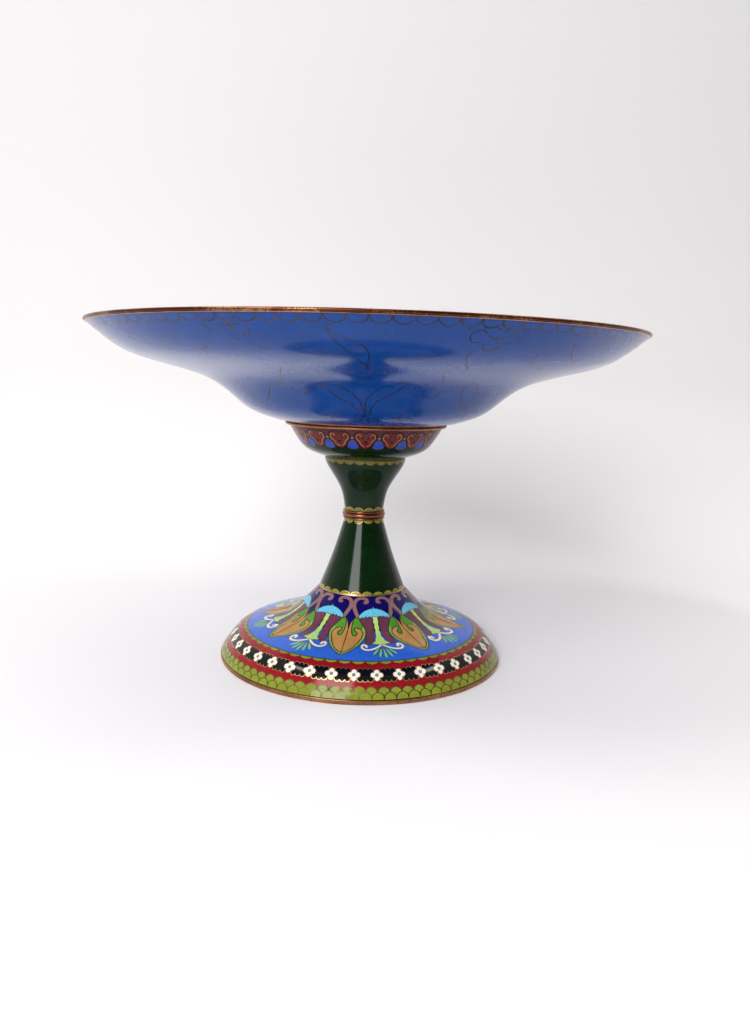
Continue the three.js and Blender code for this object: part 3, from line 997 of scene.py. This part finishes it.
core_section = [(0, base[1]), (base[0] - ENAMEL, base[1])]
core_section += bowl_face(ENAMEL, base[1])[::-BOWL_CORE_EVERY][:-1] + [(lip[0] - ENAMEL, lip[1])]
core_section += bowl_face(COPPER_INNER, floor_level - ENAMEL)[::BOWL_CORE_EVERY]
core_section += [(inner_base[0], floor_level - ENAMEL), (0, floor_level - ENAMEL)]
finished(turned("bowl_copper", core_section, core_copper), "copper", "bowl")
bowl_finishes = {
    "blue": enamel_finish("deep_blue", (12, 66, 142), 19.0, cloud=0.12, grain=0.2, shine=0.38),
    "wire": copper_finish("copper_wire", (0.12, 0.08, 0.04), (0.018, 0.014, 0.01), 0.22, 4.0),
}

# Outside.
DRAWN_WIRE = 0.48
whole = BOWL_DRAWN + UNDER_RIM_DRAWN
drawing = Drawing(bowl_outer + [under_rim], under_rim[1], base[1], 4, "blue", whole, head=-UNDER_RIM_DRAWN)


def wires(*lines):
    """Bare wires along smooth lines."""
    for line in lines:
        drawing.strip("wire", smooth_line(line), DRAWN_WIRE)


def loops(*rounds):
    """Bare wires bent round: middle, radius, start and end of each."""
    for centre, radius, start, end in rounds:
        drawing.strip("wire", drawing.around(centre, radius, start, end), DRAWN_WIRE)


for dome in drawing.scallops(RIM_SCALLOPS, (0.47, 0.40), (-0.6, 2.2, 4.0)):
    drawing.strip("wire", dome, DRAWN_WIRE)

# Upper leaves and the calyx they grow from.
wires([(-0.2, 43.3), (-1.5, 30), (-5, 16.7), (-6.3, 10), (-6.5, 6.3)],
      [(-6.5, 6.3), (-5.2, 10.2), (-3, 13.3), (-0.6, 18.3), (0.2, 26), (0, 36), (-0.2, 43.3)],
      [(-3.0, 28.6), (-7, 25), (-10.4, 22.2), (-12.2, 18.8)],
      [(-12.2, 18.8), (-12.6, 22), (-11.4, 24.6), (-7.4, 27.2), (-3.4, 29.6)],
      [(3.2, 28.6), (7, 26.4), (10.2, 24.4), (12.5, 20.8)],
      [(12.5, 20.8), (12.8, 24), (11.2, 26.6), (7.4, 28.4), (3.6, 30.2)])
loops(((-4.4, 48.6), 3.2, 40, 330), ((-0.6, 51.8), 3.0, -200, 20), ((3.4, 48.6), 3.2, -150, 140),
      ((-0.4, 45.6), 2.0, -30, 210))

# Lower leaves and their calyx.
wires([(-1, 90.8), (-5, 81.7), (-10, 75.8), (-13.5, 69), (-15, 64)],
      [(-15, 64), (-11, 65), (-6, 70.8), (-2.5, 78.3), (-1.3, 86), (-0.8, 91)],
      [(0, 90), (-0.5, 80), (2, 71.7), (6, 65.8), (9.4, 63.4), (11, 60)],
      [(11, 60), (12.4, 62.4), (11.5, 65), (9, 71.7), (4, 77.5), (1.7, 84), (1.0, 90.5)],
      [(-22.8, 93.4), (-20, 90.8), (-17, 89.6), (-14, 89.9), (-15, 93), (-16.4, 95)],
      [(10, 92), (13, 90), (16.4, 90.2), (20, 92.4), (22.8, 95.6)],
      [(14, 90.4), (15.4, 93.8), (17, 96.4)])
loops(((-4.8, 94.6), 2.9, 20, 320), ((-0.8, 96.8), 3.1, -190, 10), ((3.2, 94.6), 2.9, -140, 160),
      ((-0.8, 92.8), 1.9, -40, 220))

# Upper blossoms.
loops(((-26.2, 6.6), 3.7, 60, 350), ((-20.9, 8.4), 3.4, -120, 120), ((-23.6, 12.6), 3.0, -190, 30),
      ((18.0, 8.8), 3.6, 40, 300), ((24.0, 8.8), 3.6, -130, 130), ((21.3, 14.2), 3.2, -210, 60))
wires([(-22.8, 1.4), (-23.3, 4), (-22.4, 6.6), (-23.0, 9.6)],
      [(-25.6, 5.6), (-24, 6.4), (-22.6, 6.2), (-21.0, 5.4)],
      [(18.2, 4.4), (20, 3.4), (21.6, 4.6), (23.4, 3.6)],
      [(19.6, 7.8), (21, 9.2), (22.8, 8.4)])
for spot in ((-22.8, 6.4), (-23.2, 10.4), (21.2, 9.2), (22.8, 14.6)):
    drawing.circle("wire", spot, 0.55)

# Lower blossoms.
loops(((-27.0, 66.8), 3.5, 30, 330), ((-22.8, 70.6), 3.6, -200, 20), ((-18.8, 66.8), 3.4, -150, 150),
      ((17.4, 66.2), 3.4, 30, 330), ((21.8, 70.8), 3.8, -200, 20), ((26.0, 66.4), 3.3, -150, 150))
wires([(-25.0, 65.4), (-23, 64.2), (-20.8, 65.4)], [(19.4, 64.8), (21.6, 63.8), (24.0, 65.0)])
for spot in ((-23, 66.6), (21.6, 66.8)):
    drawing.circle("wire", spot, 0.5)

# Stems and the long leaves between the sprays.
wires([(-22.0, 15.6), (-20.0, 19.4), (-17.4, 22.6)],
      [(-20.6, 44), (-22.4, 49), (-24.0, 54), (-26.6, 62.6)],
      [(18.5, 18.0), (18.6, 24), (20.4, 31), (22.5, 38), (23.4, 45)],
      [(19.2, 50), (21.4, 56), (22.6, 62.6)],
      [(31, 62), (32.6, 68), (36.6, 75.6), (41.4, 83)],
      [(35, 61), (39, 67), (41.6, 72.4), (41.8, 78), (41.4, 83)],
      [(33, 18), (34.2, 25), (38.0, 31.2), (44.2, 35.6)],
      [(39, 9), (40.8, 15), (44.0, 20.2), (48.4, 24.6)],
      [(-32.6, 66), (-36.4, 72.6), (-41.4, 79), (-46.6, 83.4)],
      [(-37.2, 27), (-33.2, 22.8), (-31.2, 19.4)])
drawing.pieces("bowl", bowl_finishes, "blue_enamel", 60, 50)

# Inside. Scallops under the lip again, two rings and eight single leaves.
inside_outline = bowl_face(WALL, floor_level) + [inner_base]
drawing = Drawing(inside_outline, None, None, 4, "blue")
end = drawing.length
for dome in drawing.scallops(RIM_SCALLOPS, (0.47, 0.40), (end - 0.8, end - 2.8, end - 4.4)):
    drawing.strip("wire", dome, DRAWN_WIRE)
for down in (1.2, 26.0, 27.6):
    drawing.hoop("wire", down, DRAWN_WIRE, 46, 2)
for turn, lean in ((-22.5, -3), (22.5, 3)):
    ring = drawing.leaf((turn, 38), (turn + lean, 78), 12, lean * 1.2, 0.45)
    drawing.strip("wire", ring, DRAWN_WIRE, closed=True)
    wires([(turn, 38), (turn + lean * 0.7, 56), (turn + lean, 72)])
    loops(((turn - 3.2, 35.4), 3.0, 20, 320), ((turn, 32.8), 2.8, -200, 20),
          ((turn + 3.2, 35.4), 3.0, -140, 160))
drawing.pieces("bowl_inside", bowl_finishes, "blue_enamel", 30, 36)

# Floor of the bowl, with a plain eight-leaved rosette.
drawing = Drawing([inner_base, (0, floor_level)], None, None, 8, "blue")
for base_spot, tip, wide in (((0, 9), (0, 33), 11), ((22.5, 14), (22.5, 30), 5)):
    drawing.strip("wire", drawing.leaf(base_spot, tip, wide), DRAWN_WIRE, closed=True)
for down in (5.0, 7.0, 45.0, 46.6):
    drawing.hoop("wire", down, DRAWN_WIRE, 24, 2)
drawing.pieces("bowl_floor", bowl_finishes, "blue_enamel", 12, 20)

# Bowl rim. A copper band drawn over the bowl's edge: a brown half-round outside, with painted highlight
# lines along its top and along the fine line under it, where it meets the enamel, and a flat top.
RIM_ROUND_RADIUS = 0.85 * MM
RIM_LINE = 0.28 * MM
RIM_LINE_BACK = 0.55 * MM
RIM_TUCK = 1.7 * MM
RIM_INNER_ROUND = 0.5 * MM
RIM_SEAT_GAP = 0.1 * MM
BOWL_RIM_INSET = 0.3 * MM
low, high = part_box("bowl_rim")
inner = lip[0] - WALL - BOWL_RIM_INSET
seat = lip[0] - ENAMEL - RIM_SEAT_GAP
middle = high.z - RIM_ROUND_RADIUS
under = high.z - 2 * RIM_ROUND_RADIUS - RIM_LINE
# Painted highlights: the finish lays bright lines at the rim's top and at the fine line under its round.
rim_copper = copper_finish("rim_copper", (0.62, 0.31, 0.15), (0.10, 0.03, 0.014), 0.22, 7.0, (high.z, under))
section = [(inner, low.z), (seat, low.z), (high.x - RIM_TUCK, under)]
section += arc((high.x - RIM_LINE_BACK - RIM_LINE, high.z - 2 * RIM_ROUND_RADIUS), RIM_LINE, -90, 40)
section += arc((high.x - RIM_ROUND_RADIUS, middle), RIM_ROUND_RADIUS, -58, 88)
section += arc((inner + RIM_INNER_ROUND, high.z - RIM_INNER_ROUND), RIM_INNER_ROUND, 90, 180, 4)
finished(turned("bowl_rim_copper", section, rim_copper), "copper", "bowl_rim")
